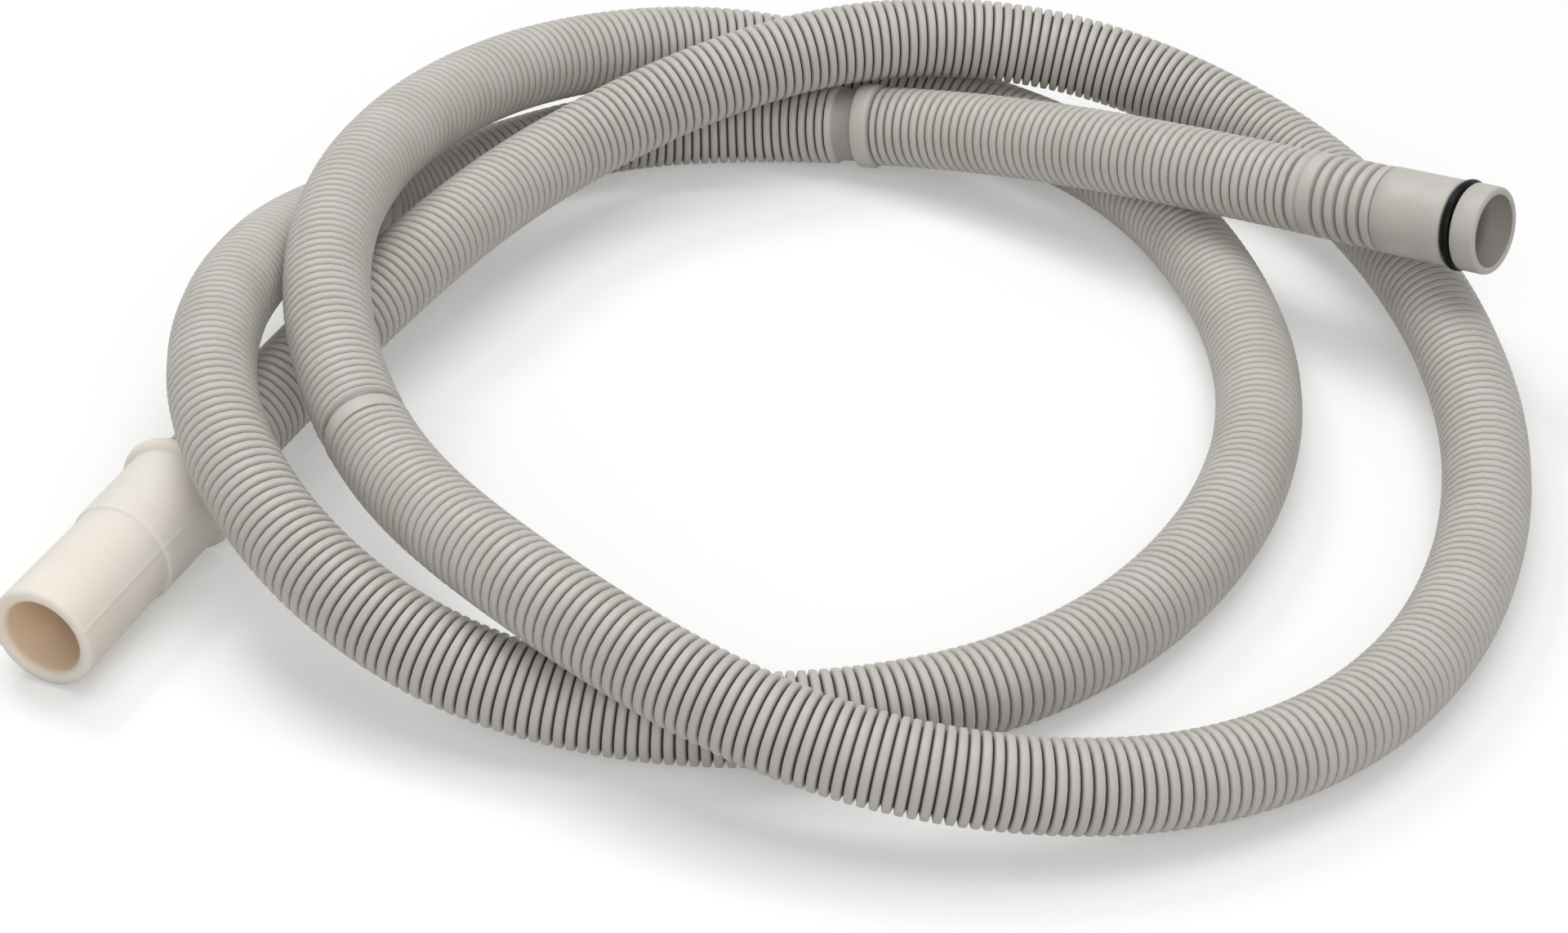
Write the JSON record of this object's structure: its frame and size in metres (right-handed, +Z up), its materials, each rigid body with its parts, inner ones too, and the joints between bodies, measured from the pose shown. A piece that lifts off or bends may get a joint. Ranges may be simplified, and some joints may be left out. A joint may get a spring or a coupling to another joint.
{
  "type": "dishwasher drain hose",
  "caption": "Corrugated drain hose laid in loose loops, with a ribbed plug end sealed by an O-ring at one end and a moulded rubber sleeve at the other.",
  "frame": {"origin": "on the floor that the coiled hose lies on, below the middle of its bounding box", "axes": "+Z up from the floor; +X towards the side that the plug end points to, +Y away from the side that the sleeve's mouth points to"},
  "size_m": [0.4058, 0.384, 0.0652],
  "materials": {
    "hose_plastic": "formed polypropylene, satin",
    "plug_plastic": "formed and turned polypropylene, satin",
    "ring_rubber": "moulded nitrile rubber, slightly glossy",
    "sleeve_rubber": "moulded rubber, soft satin"
  },
  "bodies": {
    "root": {"hose": "hose_plastic", "plug_end": "plug_plastic", "o_ring": "ring_rubber", "end_sleeve": "sleeve_rubber"}
  },
  "joints": []
}
